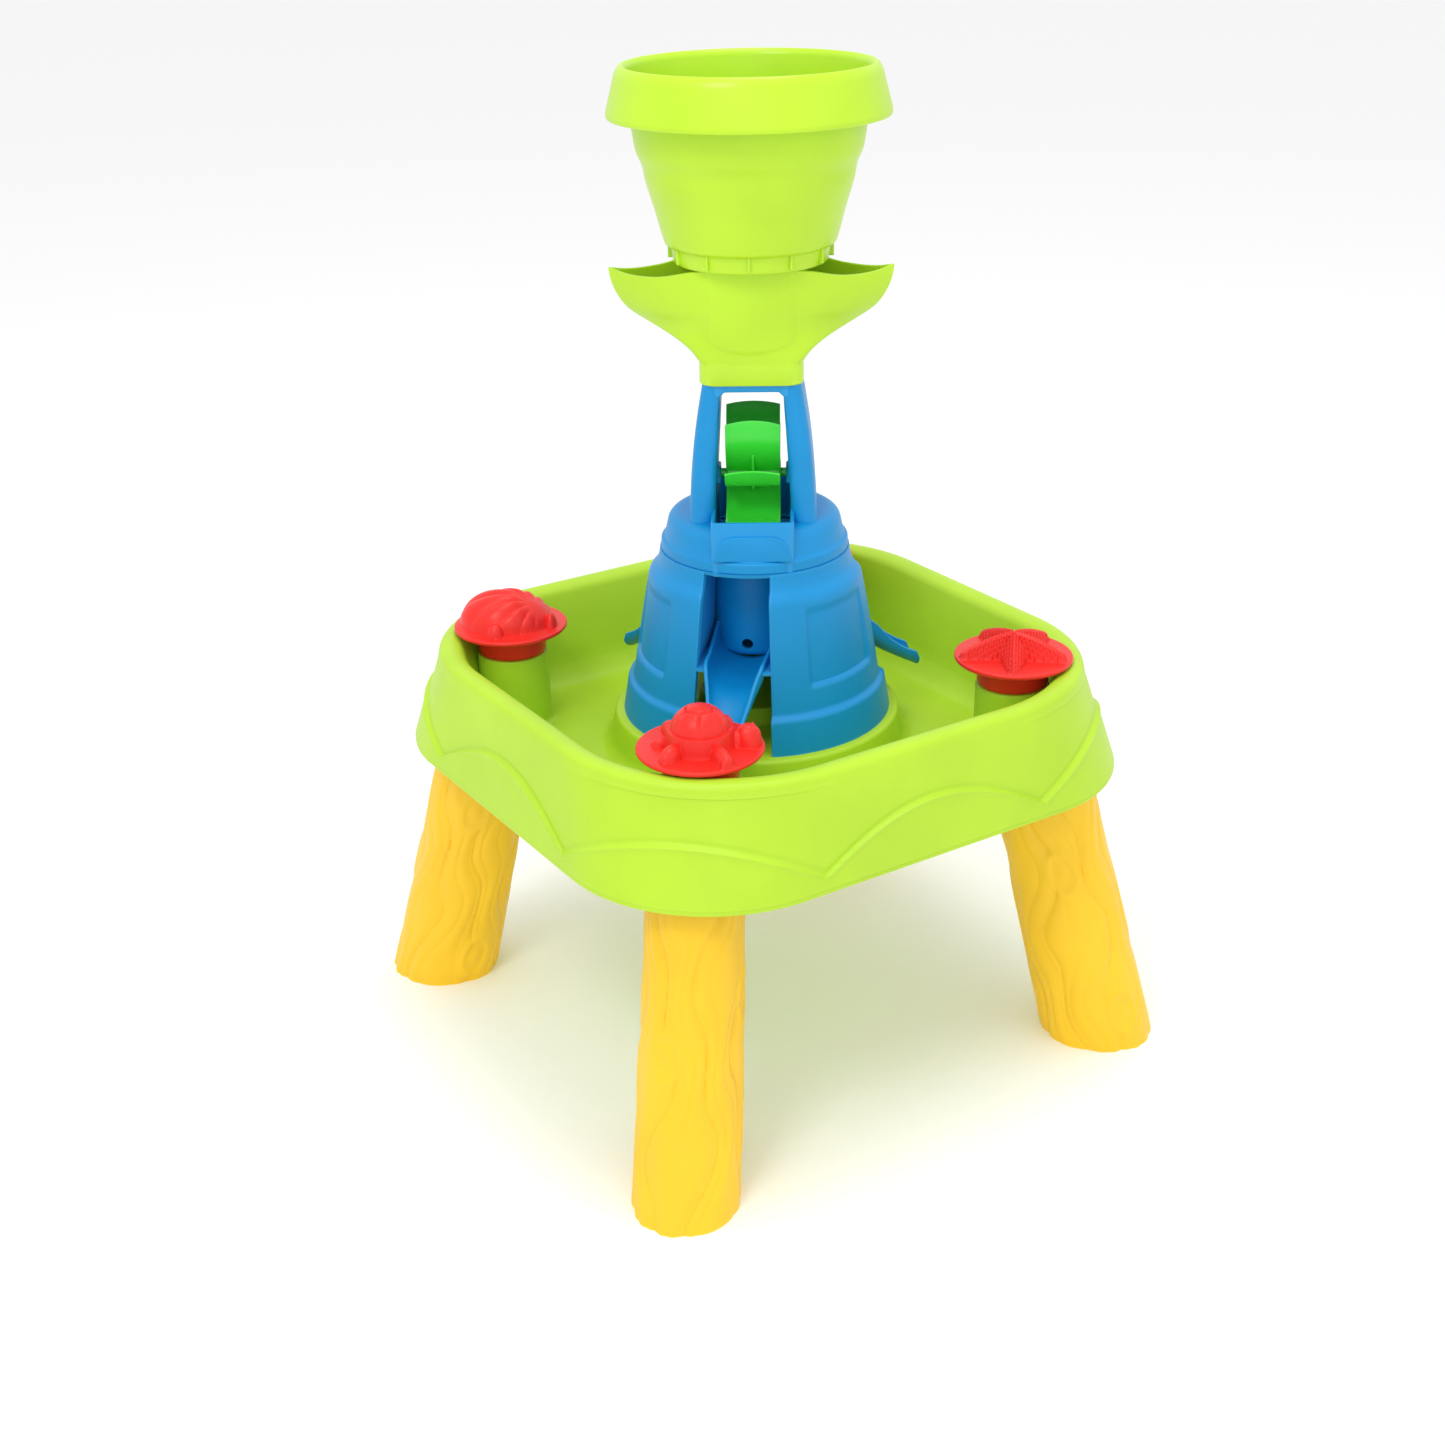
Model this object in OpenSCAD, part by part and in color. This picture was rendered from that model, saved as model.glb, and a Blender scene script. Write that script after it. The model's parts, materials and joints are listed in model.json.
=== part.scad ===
// Sand and water table: a square tray on four leaning legs, with a water tower in the middle.
// Millimetres, +Z up. The origin is on the ground, under the middle of the tray.
// The sides of the tray are parallel to X and Y, and its front is at -Y.

/* [Tray] */
// Width of the tray across the bottom edge of its skirt
tray_w = 420; // [400:5:520]
// Corner radius of the skirt, seen from above
skirt_corner_r = 105; // [85:5:130]
// Height of the rim above the ground
rim_z = 289; // [240:1:350]
// Height of the skirt
skirt_h = 78; // [76:1:95]
// How far the skirt leans in between its bottom edge and the rim
skirt_lean = 12; // [6:1:16]
// Width of the rolled rim
rim_w = 20; // [16:1:24]
// Depth of the basin below the rim
basin_depth = 71; // [64:1:72]
// Wall thickness of the tray
tray_wall = 3; // [2:0.5:4]

/* [Posts and mould caps] */
// Diameter of the four corner posts
post_d = 51; // [48:1:56]
// Height of a post above the floor of the basin
post_h = 54; // [42:1:60]
// Diameter of a mould cap's disc
cap_d = 81.6; // [72:0.4:86]
// Height of the neck that a mould cap stands on
cap_neck_h = 17.7; // [12:0.1:22]

/* [Legs] */
// Width of a foot, along the ring of legs
foot_w = 72.7; // [60:0.1:84]
// Depth of a foot, away from the middle of the table
foot_depth = 82.5; // [66:0.5:92]
// Width of the top of a leg
leg_top_w = 64; // [54:1:70]
// Depth of the top of a leg
leg_top_depth = 72; // [58:1:76]
// How far a foot stands outside the top of its leg
leg_splay = 54; // [20:1:60]
// Wall thickness of the legs
leg_wall = 3; // [2:0.5:4]

/* [Castle] */
// Diameter of the castle across its base
castle_d = 189; // [160:1:210]
// Height of the castle
castle_h = 113.5; // [100:0.5:140]
// Wall thickness of the castle, the tank and the chutes
castle_wall = 2.5; // [2:0.25:3]
// Number of slots, tank outlets and chutes
slot_count = 3; // [3:1:3]
// Width of a slot at its foot
slot_w = 57; // [50:1:60]
// Diameter of the tank inside the castle
tank_d = 60; // [52:1:62]
// Diameter of a tank outlet
outlet_d = 8; // [5:0.5:10]
// How far a chute's tip is from the middle
chute_reach = 121; // [110:1:135]

/* [Tower] */
// Turn of the tower about the upright axis
tower_turn = -35; // [-90:5:90]
// Height of the dome above the castle
dome_h = 32.5; // [28:0.5:38]
// Height of the wheel's axle above the castle
axle_h = 57; // [56:0.5:64]
// Height of the wheel frame above the castle, up to the neck of the funnel
frame_h = 125.5; // [120:0.5:145]
// Clear width between the columns, at the axle
frame_gap = 49.4; // [48:0.2:54]

/* [Water wheel] */
// Diameter of the water wheel
wheel_d = 96; // [84:1:97]
// Width of the water wheel
wheel_w = 36.4; // [28:0.2:37]
// Number of blades
blade_count = 8; // [6:1:10]
// Diameter of the axle
axle_d = 6; // [4:0.5:7]

/* [Funnel and bucket] */
// Outside width of the funnel's square neck
neck_w = 68.4; // [66:0.2:72]
// Height of the funnel, from its neck to the seat of the bucket
funnel_h = 75; // [66:1:90]
// Span of the funnel across the tips of its two wings
funnel_span = 186; // [150:2:220]
// Diameter of the bucket across its rim
bucket_d = 182; // [160:2:210]
// Height of the bucket
bucket_h = 123.5; // [100:0.5:140]
// Wall thickness of the funnel and the bucket
shell_wall = 2.5; // [2:0.25:3]

/* [Hidden] */
$fn = 96;

lime = [0.78, 0.94, 0.31];
blue = [0.11, 0.60, 0.85];
green = [0.31, 0.90, 0.29];
red = [0.98, 0.32, 0.27];
yellow = [0.99, 0.88, 0.32];

// Clearances: parts that lift off, and the axle in its bearings
lift_gap = 0.3;
running_gap = 0.05;
thin = 0.01;
hull_fn = 32;

// Directions of the corners, the slots and the posts
front_left = -135;
front_right = -45;
back_left = 135;
back_right = 45;
slot_turn = front_left;
slot_step = 360 / slot_count;

// Tray
skirt_z = rim_z - skirt_h;
floor_z = rim_z - basin_depth;
floor_under = floor_z - tray_wall;
rim_roll = 9;
rim_corner_r = skirt_corner_r + 20;
basin_lean = 15;
basin_corner_r = 80;
post_out = tray_w * 0.43;
post_top = floor_z + post_h;
stub_d = post_d - 8;
stub_h = cap_neck_h - 4;
socket_d = 32;
socket_top = post_top - 10;
plinth_h = 26;
plinth_top_r = castle_d / 2 + 6.5;
plinth_foot_r = plinth_top_r + 5;
boss_r = 40;
boss_h = 12;
castle_z = floor_z + plinth_h;

// Legs: the top ends under the floor of the basin, with a spigot up into its socket
leg_out = post_out + 19;
foot_out = leg_out + leg_splay;
spigot_h = 40;

// Castle: outline radii as parts of the base radius, heights as parts of the castle's height
castle_r = castle_d / 2;
castle_top = castle_z + castle_h;
band_h = 0.21 * castle_h;
shoulder_h = 0.87 * castle_h;
top_r = 0.725 * castle_r;
slot_top_w = slot_w * 0.8;
slot_top = castle_top - castle_wall;
tank_r = tank_d / 2;
tank_floor = castle_z + 0.41 * castle_h;
tank_round = 9;
outlet_z = tank_floor + 9.5;
lintel_z = tank_floor + 9;

// Tower: dome, well and wheel frame
dome_top = castle_top + dome_h;
flange_h = 7.5;
flange_r = top_r;
dome_foot_r = flange_r - 4.3;
dome_top_r = flange_r - 10;
axle_z = castle_top + axle_h;
well_half_x = 27.5;
well_half_y = 60;
well_top = dome_top + 8;
well_step_z = castle_top + flange_h + 0.5;
sump_half_y = 45;
sump_z = castle_top + 2.5;
frame_top = castle_top + frame_h;
neck_h = 14;
collar_h = neck_h - 2.4;
collar_half = neck_w / 2 - shell_wall - lift_gap;
gap_foot = frame_gap / 2 + 1.3;
gap_top = frame_gap / 2 - 4.4;
bearing_reach = frame_gap / 2 - 2.7;
bearing_w = 12;

// Water wheel
wheel_r = wheel_d / 2;
hub_r = 8;
blade_t = 2;
blade_turn = 14;

// Funnel and bucket
neck_z = frame_top;
seat_z = neck_z + funnel_h;
throat_r = 26;
ring_r = 36;
bucket_z = seat_z + lift_gap;
bucket_r = bucket_d / 2;
bucket_foot_r = 0.56 * bucket_r;
sieve_hole_d = 5;

// Outline of a rounded rectangle with half sizes hx and hy
function rounded(hx, hy, r) = [
    for (q = [0:3], i = [0:6])
        let (a = 90 * q + 15 * i,
             sx = (q == 0 || q == 3) ? 1 : -1,
             sy = (q < 2) ? 1 : -1)
        [sx * (hx - r) + r * cos(a), sy * (hy - r) + r * sin(a)]
];

// Outline of a pointed leaf with half length hx and half width hy, made of two arcs
function leaf(hx, hy) =
    let (r = (hx * hx + hy * hy) / (2 * hy),
         half = asin(hx / r))
    [for (side = [0, 180], i = [-6:5])
        let (a = side + 90 + half * i / 6)
        [r * cos(a), r * sin(a) - (side == 0 ? r - hy : hy - r)]];

// Thin level slice of an outline, used as a child of hull()
module slice(z, points) {
    translate([0, 0, z])
        linear_extrude(thin) polygon(points);
}

module slot_places() {
    for (i = [0:slot_count - 1])
        rotate(slot_turn + i * slot_step) children();
}

module post_places() {
    for (a = [front_left, front_right, back_left, back_right])
        rotate(a) translate([post_out, 0, 0]) children();
}

// ---- Tray ----

// Outside of the skirt and the rolled rim, moved in by the given amount
module skirt_block(inset = 0) {
    half = tray_w / 2 - inset;
    top_half = half - skirt_lean;
    top = rim_z - inset;
    hull() {
        slice(skirt_z - inset, rounded(half, half, skirt_corner_r - inset));
        slice(top - rim_roll, rounded(top_half + 1.2, top_half + 1.2, rim_corner_r - inset));
        slice(top - 3, rounded(top_half - 1.5, top_half - 1.5, rim_corner_r - inset));
        slice(top, rounded(top_half - 6.5, top_half - 6.5, rim_corner_r - inset - 4));
    }
}

// Space inside the basin, grown by the given amount for its outer face
module basin_block(grow = 0) {
    half = tray_w / 2 - skirt_lean - rim_w + grow;
    foot = half - basin_lean;
    hull() {
        slice(floor_z - grow, rounded(foot, foot, basin_corner_r + grow));
        slice(rim_z - rim_roll, rounded(half, half, basin_corner_r + 22 + grow));
        slice(rim_z - 2, rounded(half + 2, half + 2, basin_corner_r + 24 + grow));
        slice(rim_z + 1, rounded(half + 6, half + 6, basin_corner_r + 28 + grow));
    }
}

module tray_shell() {
    difference() {
        skirt_block();
        difference() {
            skirt_block(tray_wall);
            basin_block(tray_wall);
        }
        basin_block();
    }
}

module plinth() {
    rotate_extrude()
        polygon([
            [0, floor_z - 1],
            [plinth_foot_r, floor_z - 1],
            [plinth_foot_r, floor_z],
            [plinth_top_r, castle_z],
            [boss_r, castle_z],
            [boss_r, castle_z + boss_h],
            [0, castle_z + boss_h]
        ]);
}

module plinth_hollow() {
    rotate_extrude()
        polygon([
            [0, floor_under - 1],
            [plinth_foot_r - tray_wall, floor_under - 1],
            [plinth_top_r - tray_wall, castle_z - tray_wall],
            [boss_r - tray_wall, castle_z - tray_wall],
            [boss_r - tray_wall, castle_z + boss_h - tray_wall],
            [0, castle_z + boss_h - tray_wall]
        ]);
}

// A post, with the stub that carries a mould cap
module post() {
    translate([0, 0, floor_z - 1])
        cylinder(d = post_d, h = post_h + 1);
    translate([0, 0, post_top - 1])
        cylinder(d = stub_d, h = stub_h + 1);
}

// The space inside a post, around the socket of its leg
module post_hollow() {
    translate([0, 0, floor_under - 1])
        difference() {
            cylinder(d = post_d - 2 * tray_wall, h = post_top - floor_under + 1 - tray_wall);
            cylinder(d = socket_d + 5, h = post_h + 20);
        }
    translate([0, 0, floor_under - 1])
        cylinder(d = socket_d, h = socket_top - floor_under + 1);
}

module tray() {
    color(lime)
        difference() {
            union() {
                tray_shell();
                plinth();
                post_places() post();
            }
            plinth_hollow();
            post_places() post_hollow();
        }
}

// ---- Legs ----

// Leaning oval body of a leg, moved in by the given amount
module leg_block(inset, bottom, top) {
    hull() {
        translate([foot_out, 0, bottom])
            linear_extrude(thin)
                scale([foot_depth / 2 - inset, foot_w / 2 - inset]) circle(1, $fn = hull_fn);
        translate([leg_out, 0, top])
            linear_extrude(thin)
                scale([leg_top_depth / 2 - inset, leg_top_w / 2 - inset]) circle(1, $fn = hull_fn);
    }
}

module leg(angle) {
    color(yellow)
        rotate(angle) {
            difference() {
                leg_block(0, 0, floor_under - thin);
                leg_block(leg_wall, -thin, floor_under - leg_wall);
            }
            translate([post_out, 0, floor_under - 1])
                cylinder(d = socket_d - 0.4, h = spigot_h + 1);
        }
}

// ---- Castle ----

// Half outline of the castle, from its foot to its shoulder, moved in by the given amount
function castle_outline(inset) = [
    [castle_r - inset, castle_z],
    [0.955 * castle_r - inset, castle_z + band_h],
    [0.913 * castle_r - inset, castle_z + band_h + 1.5],
    [0.85 * castle_r - inset, castle_z + 0.57 * castle_h],
    [0.81 * castle_r - inset, castle_z + 0.73 * castle_h],
    [0.78 * castle_r - inset, castle_z + shoulder_h],
    [0.745 * castle_r - inset, castle_z + shoulder_h + 2],
    [top_r - 0.5 - inset, castle_top - inset]
];

module castle_solid(inset = 0) {
    rotate_extrude()
        polygon(concat([[0, castle_z - inset]], castle_outline(inset), [[0, castle_top - inset]]));
}

// Upright tapered block that fills one slot, wider by the given amount on each side
module slot_block(grow, bottom, top, start) {
    slope = (slot_w - slot_top_w) / 2 / castle_h;
    low = slot_w / 2 + grow - slope * (bottom - castle_z);
    high = slot_w / 2 + grow - slope * (top - castle_z);
    translate([start, 0, 0])
        rotate([90, 0, 90])
            linear_extrude(castle_r + 10 - start)
                polygon([[-low, bottom], [low, bottom], [high, top], [-high, top]]);
}

// Recessed panel between two slots
module panel_recess() {
    half_angle = 22.5;
    rotate(-half_angle)
        rotate_extrude(angle = 2 * half_angle)
            polygon([
                [0.872 * castle_r, castle_z + 0.36 * castle_h],
                [castle_r, castle_z + 0.36 * castle_h],
                [castle_r, castle_z + 0.8 * castle_h],
                [0.79 * castle_r, castle_z + 0.8 * castle_h],
                [0.835 * castle_r, castle_z + 0.57 * castle_h]
            ]);
}

module castle() {
    color(blue)
        difference() {
            castle_solid();
            difference() {
                castle_solid(castle_wall);
                slot_places()
                    slot_block(castle_wall, lintel_z, slot_top, tank_r);
            }
            slot_places() slot_block(0, castle_z - 1, slot_top, tank_r - 1);
            rotate(slot_step / 2) slot_places() panel_recess();
            translate([0, 0, castle_z - 1])
                cylinder(r = tank_r, h = castle_h + 2);
        }
}

module core_tank() {
    color(blue)
        difference() {
            union() {
                tank_body(0);
                translate([0, 0, castle_top])
                    cylinder(r = tank_r + 6, h = 2);
            }
            tank_body(castle_wall);
            slot_places()
                translate([0, 0, outlet_z])
                    rotate([0, 90, 0]) cylinder(d = outlet_d, h = tank_r + 1);
        }
}

// Round tank with a rounded bottom, moved in by the given amount and open above when it is inset
module tank_body(inset) {
    round_r = tank_round - inset / 2;
    side = tank_r - inset;
    bottom = tank_floor + inset;
    rotate_extrude()
        polygon(concat(
            [[0, bottom]],
            [for (i = [0:6])
                let (a = -90 + 15 * i)
                [side - round_r + round_r * cos(a), bottom + round_r + round_r * sin(a)]],
            [[side, castle_top + inset], [0, castle_top + inset]]
        ));
}

// Round-bottomed section of a chute at the distance out, as a child of hull()
module chute_section(out, half, bottom, top) {
    translate([out, 0, 0])
        rotate([90, 0, 90])
            linear_extrude(thin)
                polygon(concat(
                    [[half, top], [-half, top]],
                    [for (i = [0:8])
                        let (a = 180 + 22.5 * i)
                        [half * cos(a), bottom + half * 0.6 * (1 + sin(a))]]
                ));
}

// Channel of a chute: level inside the castle, then a tapered tongue down into the basin
module chute_block(inset, top_extra, end_extra) {
    root = 17;
    lip = 0.88 * castle_r;
    root_half = 23 - inset;
    lip_half = 20 - inset;
    tip_half = 12 - inset;
    lip_bottom = tank_floor - 12 + inset;
    tip_bottom = castle_z + 12 + inset;
    hull() {
        chute_section(root + inset, root_half, tank_floor - 6 + inset, tank_floor + 20 + top_extra);
        chute_section(lip, lip_half, lip_bottom, tank_floor + 9 + top_extra);
    }
    hull() {
        chute_section(lip - thin, lip_half, lip_bottom, tank_floor + 9 + top_extra);
        chute_section(chute_reach + end_extra, tip_half, tip_bottom, castle_z + 24 + top_extra);
    }
}

module chute(angle) {
    web_t = 2;
    color(blue)
        rotate(angle)
            difference() {
                union() {
                    chute_block(0, 0, 0);
                    intersection() {
                        translate([0, -slot_w / 2, lintel_z - web_t])
                            cube([0.84 * castle_r, slot_w, web_t]);
                        slot_block(0, castle_z, slot_top, tank_r);
                    }
                }
                chute_block(castle_wall, 20, 1);
                translate([0, 0, tank_floor])
                    cylinder(r = tank_r, h = castle_h);
                translate([0, 0, castle_z])
                    cylinder(r = 14, h = castle_h);
            }
}

// ---- Tower ----

// Outer box of the well and the narrower sump under it, moved in by the given amount
module well_block(inset) {
    well_x = well_half_x - inset;
    well_y = well_half_y - inset;
    sump_y = sump_half_y - inset;
    translate([-well_x, -well_y, well_step_z + inset])
        cube([2 * well_x, 2 * well_y, well_top - well_step_z]);
    translate([-well_x, -sump_y, sump_z + inset])
        cube([2 * well_x, 2 * sump_y, well_top - sump_z]);
}

function dome_outline(inset) = [
    [flange_r - inset, castle_top],
    [flange_r - inset, castle_top + flange_h - inset],
    [dome_foot_r - inset, castle_top + flange_h + 0.5 - inset],
    [dome_top_r - inset, dome_top - 4 - inset],
    [dome_top_r - 1.4 - inset, dome_top - 1 - inset],
    [dome_top_r - 4 - inset, dome_top - inset]
];

module dome_solid(inset = 0) {
    rotate_extrude()
        polygon(concat([[0, castle_top]], dome_outline(inset), [[0, dome_top - inset]]));
}

module tower_cap() {
    color(blue)
        rotate(tower_turn)
            difference() {
                dome_solid();
                translate([0, 0, -thin]) dome_solid(castle_wall);
                well_block(0);
            }
}

// Outer envelope of the two columns, bowed outward towards their feet
module column_block() {
    foot = frame_gap / 2 + 18.6;
    rise = frame_top - dome_top;
    hull() {
        slice(dome_top, rounded(foot, 37, 16));
        slice(dome_top + 0.3 * rise, rounded(foot - 2.2, 35.5, 15));
        slice(dome_top + 0.65 * rise, rounded(foot - 5.5, 33, 14));
        slice(frame_top, rounded(collar_half + 1.8, collar_half, 12));
    }
}

// Through opening between the columns
module column_opening() {
    opening_top = frame_top - 5;
    corner = 4;
    rotate([90, 0, 0])
        translate([0, 0, -well_half_y])
            linear_extrude(2 * well_half_y)
                polygon([
                    [-gap_foot, dome_top - 1],
                    [gap_foot, dome_top - 1],
                    [gap_top, opening_top - corner],
                    [gap_top - corner, opening_top],
                    [corner - gap_top, opening_top],
                    [-gap_top, opening_top - corner]
                ]);
}

module bearing_block(side) {
    translate([side * (bearing_reach + 2.5), 0, axle_z])
        cube([5, bearing_w, 13], center = true);
}

module wheel_frame() {
    color(blue)
        rotate(tower_turn)
            difference() {
                union() {
                    difference() {
                        union() {
                            well_block(0);
                            column_block();
                        }
                        column_opening();
                        well_block(castle_wall);
                        translate([0, 0, sump_z - 1]) cylinder(r = tank_r - 6, h = 5);
                    }
                    translate([0, 0, frame_top - thin])
                        linear_extrude(collar_h)
                            polygon(rounded(collar_half, collar_half, 11));
                    for (side = [-1, 1]) bearing_block(side);
                }
                translate([0, 0, frame_top - 6])
                    cylinder(r = throat_r, h = collar_h + 7);
                translate([-frame_gap / 2 - 2, 0, axle_z])
                    rotate([0, 90, 0])
                        cylinder(d = axle_d + 2 * running_gap, h = frame_gap + 4);
            }
}

// ---- Water wheel ----

// Outline of one cupped blade: a quarter of a thin ring that starts inside the hub
module blade_outline() {
    bend_r = 0.75 * wheel_r;
    translate([hub_r - 2, -bend_r])
        intersection() {
            difference() {
                circle(r = bend_r + blade_t / 2);
                circle(r = bend_r - blade_t / 2);
            }
            square(bend_r + blade_t);
        }
}

module water_wheel() {
    color(green)
        rotate(tower_turn)
            translate([0, 0, axle_z])
                rotate([0, 90, 0])
                    linear_extrude(wheel_w, center = true)
                        difference() {
                            union() {
                                circle(r = hub_r);
                                intersection() {
                                    for (i = [0:blade_count - 1])
                                        rotate(i * 360 / blade_count + blade_turn) blade_outline();
                                    circle(r = wheel_r);
                                }
                            }
                            circle(d = axle_d);
                        }
}

module wheel_axle() {
    color(green)
        rotate(tower_turn)
            translate([0, 0, axle_z])
                rotate([0, 90, 0])
                    cylinder(d = axle_d, h = frame_gap + 3, center = true);
}

// ---- Funnel ----

// Boat-shaped body of the funnel, moved in by the given amount
module funnel_block(inset, top_extra) {
    neck_half = neck_w / 2 - inset;
    span_half = funnel_span / 2 - 1.5 * inset;
    leaf_half = 39 - inset;
    rise = funnel_h - neck_h;
    hull() {
        slice(neck_z + neck_h + inset, rounded(neck_half, neck_half, 11));
        slice(neck_z + neck_h + 0.58 * rise + inset, leaf(0.895 * span_half, 0.96 * leaf_half));
        slice(neck_z + neck_h + 0.76 * rise, leaf(0.975 * span_half, 0.98 * leaf_half));
        slice(seat_z - 2 + top_extra, leaf(span_half, leaf_half));
    }
}

// Dip in the rim of each wing
module wing_dip() {
    dip_r = 60;
    for (side = [-1, 1])
        translate([side * 0.34 * funnel_span, 0, seat_z - 6.5 + dip_r])
            rotate([90, 0, 0])
                cylinder(r = dip_r, h = 120, center = true);
}

module funnel() {
    color(lime)
        rotate(tower_turn)
            difference() {
                union() {
                    difference() {
                        funnel_block(0, 0);
                        funnel_block(shell_wall, 5);
                        wing_dip();
                    }
                    translate([0, 0, neck_z])
                        linear_extrude(neck_h + 2) polygon(rounded(neck_w / 2, neck_w / 2, 11.5));
                    translate([0, 0, seat_z - 22]) cylinder(r = ring_r, h = 22);
                }
                translate([0, 0, neck_z - thin])
                    linear_extrude(neck_h - 2)
                        polygon(rounded(collar_half + lift_gap, collar_half + lift_gap, 11));
                translate([0, 0, neck_z]) cylinder(r = throat_r, h = neck_h + 10);
                translate([0, 0, seat_z - 23]) cylinder(r = ring_r - shell_wall, h = 24);
            }
}

// ---- Bucket ----

// Half outline of the bucket's body from its foot to its rolled rim
function bucket_outline() = [
    [bucket_foot_r, 0],
    [bucket_foot_r + 2, 0.06 * bucket_h],
    [0.61 * bucket_r, 0.1 * bucket_h],
    [0.75 * bucket_r, 0.5 * bucket_h],
    [0.82 * bucket_r, 0.69 * bucket_h],
    [0.84 * bucket_r, 0.955 * bucket_h],
    [bucket_r - 2.5, 0.74 * bucket_h],
    [bucket_r, 0.74 * bucket_h],
    [0.93 * bucket_r, 0.97 * bucket_h],
    [0.9 * bucket_r, bucket_h],
    [0.84 * bucket_r, bucket_h]
];

function bucket_inside() = [
    [0.81 * bucket_r, 0.95 * bucket_h],
    [0.79 * bucket_r, 0.69 * bucket_h],
    [0.72 * bucket_r, 0.5 * bucket_h],
    [bucket_foot_r + 1, 0.06 * bucket_h],
    [bucket_foot_r - 4, shell_wall],
    [0, shell_wall]
];

module bucket() {
    boss_r = ring_r - shell_wall - lift_gap;
    color(lime)
        translate([0, 0, bucket_z])
            difference() {
                union() {
                    rotate_extrude()
                        polygon(concat([[0, 0]], bucket_outline(), bucket_inside()));
                    translate([0, 0, -8]) cylinder(r = boss_r, h = 8 + thin);
                }
                translate([0, 0, -9]) cylinder(r = boss_r - shell_wall, h = 9);
                for (i = [0:5])
                    rotate(i * 60) translate([16, 0, -1])
                        cylinder(d = sieve_hole_d, h = shell_wall + 2);
                translate([0, 0, -1]) cylinder(d = sieve_hole_d, h = shell_wall + 2);
            }
}

// ---- Mould caps ----

disc_z = post_top + cap_neck_h;
disc_h = 3;
figure_z = disc_z + disc_h;

// Disc and hollow neck of a mould cap, with a figure on top and its hollow given as children
module mould_cap(angle) {
    color(red)
        rotate(angle)
            translate([post_out, 0, 0])
                rotate(-angle)
                    difference() {
                        union() {
                            translate([0, 0, disc_z]) cylinder(d = cap_d, h = disc_h);
                            translate([0, 0, post_top + lift_gap])
                                cylinder(d = post_d - 2.4, h = cap_neck_h);
                            translate([0, 0, figure_z - 1]) children(0);
                        }
                        translate([0, 0, post_top])
                            cylinder(d = stub_d + 2 * lift_gap, h = cap_neck_h - 1);
                        translate([0, 0, post_top]) children(1);
                    }
}

// Half ellipsoid that stands on z = 0
module half_egg(rx, ry, rz) {
    intersection() {
        scale([rx, ry, rz]) sphere(1, $fn = 48);
        translate([0, 0, rz]) cube([3 * rx, 3 * ry, 2 * rz], center = true);
    }
}

module cap_turtle() {
    facing = -33;
    mould_cap(front_left) {
        rotate(facing) {
            cylinder(r = 21, h = 10);
            translate([0, 0, 9]) half_egg(19, 19, 18);
            translate([29, 5, 0]) half_egg(9, 8, 13);
            for (side = [-1, 1]) {
                translate([14, side * 22, 0]) rotate(side * 60) half_egg(12, 5, 9);
                translate([-17, side * 17, 0]) rotate(side * 125) half_egg(11, 6, 8);
            }
        }
        cylinder(r = 16, h = cap_neck_h + 8);
    }
}

module cap_scallop() {
    facing = -33;
    mould_cap(back_left) {
        rotate(facing) {
            half_egg(33, 29, 24);
            translate([-2, -29, 0]) half_egg(7, 7, 9);
            translate([30, -6, 0]) half_egg(5, 7, 10);
        }
        cylinder(r = 18, h = cap_neck_h + 8);
    }
}

// Five-armed star with a ridge along each arm, standing on z = 0
module star(tip_r, notch_r, height) {
    ring = [
        for (i = [0:9])
            let (r = i % 2 == 0 ? tip_r : notch_r)
            [r * cos(36 * i), r * sin(36 * i), 0]
    ];
    polyhedron(
        points = concat([[0, 0, height]], ring),
        faces = concat([[for (i = [1:10]) i]], [for (i = [0:9]) [0, (i + 1) % 10 + 1, i + 1]])
    );
}

module cap_starfish() {
    mould_cap(front_right) {
        rotate(-15) star(38, 13, 17);
        cylinder(r = 8, h = cap_neck_h + 6);
    }
}

module cap_crab() {
    mould_cap(back_right) {
        union() {
            half_egg(24, 18, 15);
            for (side = [-1, 1]) {
                translate([side * 20, -20, 0]) rotate(side * 30) half_egg(11, 7, 10);
                translate([side * 7, -16, 8]) sphere(4, $fn = 32);
                for (i = [0:2])
                    translate([side * (25 + i), 2 + 9 * i, 0])
                        rotate(side * (10 + 18 * i)) half_egg(10, 3, 6);
            }
        }
        cylinder(r = 14, h = cap_neck_h + 8);
    }
}

tray();
leg(front_left);  // leg_front_left
leg(front_right);  // leg_front_right
leg(back_left);  // leg_back_left
leg(back_right);  // leg_back_right
castle();
core_tank();
chute(slot_turn);  // chute_front
chute(slot_turn + slot_step);  // chute_right
chute(slot_turn + 2 * slot_step);  // chute_back
tower_cap();
wheel_frame();
funnel();
water_wheel();
wheel_axle();
bucket();
cap_turtle();
cap_starfish();
cap_scallop();
cap_crab();
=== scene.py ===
"""Looks of the sand and water table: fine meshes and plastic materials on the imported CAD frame."""

import json
import math

import bmesh
import bpy
import numpy as np
from mathutils import Matrix, Vector


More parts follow.
